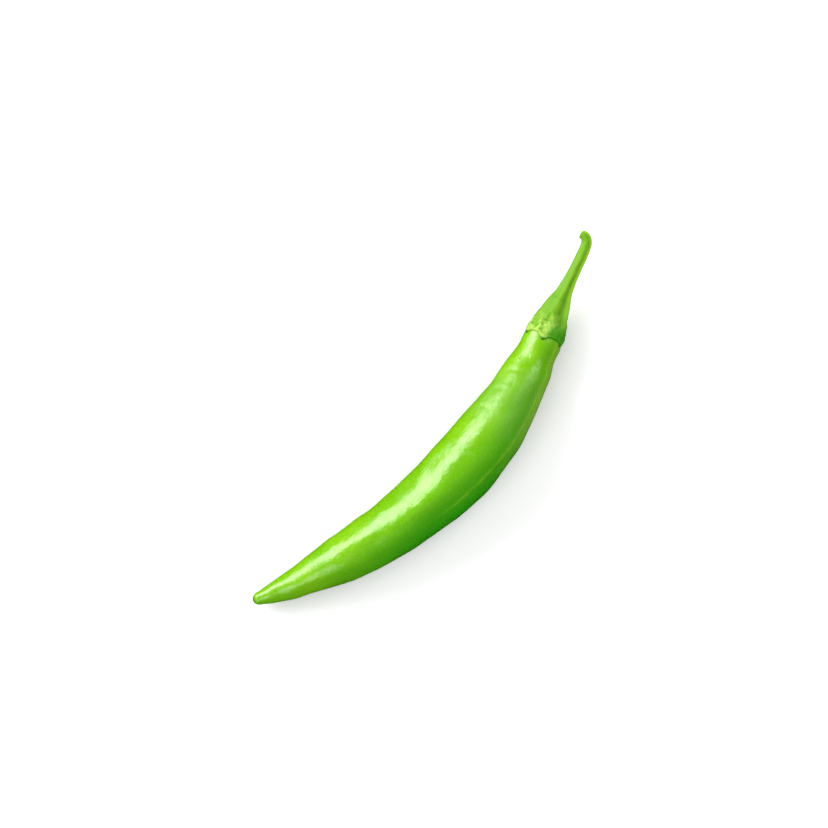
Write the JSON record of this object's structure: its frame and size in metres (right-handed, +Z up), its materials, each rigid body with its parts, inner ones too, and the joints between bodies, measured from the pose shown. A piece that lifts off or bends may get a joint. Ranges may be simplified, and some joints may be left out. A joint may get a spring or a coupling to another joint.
{
  "type": "green chilli pepper",
  "caption": "Long green chilli pepper as picked, lying on its side: a bowed, tapering pod with a ribbed, toothed calyx and a short hooked stem.",
  "frame": {"origin": "on the surface the chilli lies on, under the middle of its bounding box", "axes": "+X from the pod's tip towards the stem, +Y towards the hollow side of the pod's bow, +Z up from the surface"},
  "size_m": [0.135, 0.028, 0.0183],
  "materials": {
    "pod_skin": "gloss",
    "calyx_skin": "satin",
    "stem_skin": "satin"
  },
  "bodies": {
    "root": {"pod": "pod_skin", "calyx": "calyx_skin", "stem": "stem_skin"}
  },
  "joints": []
}
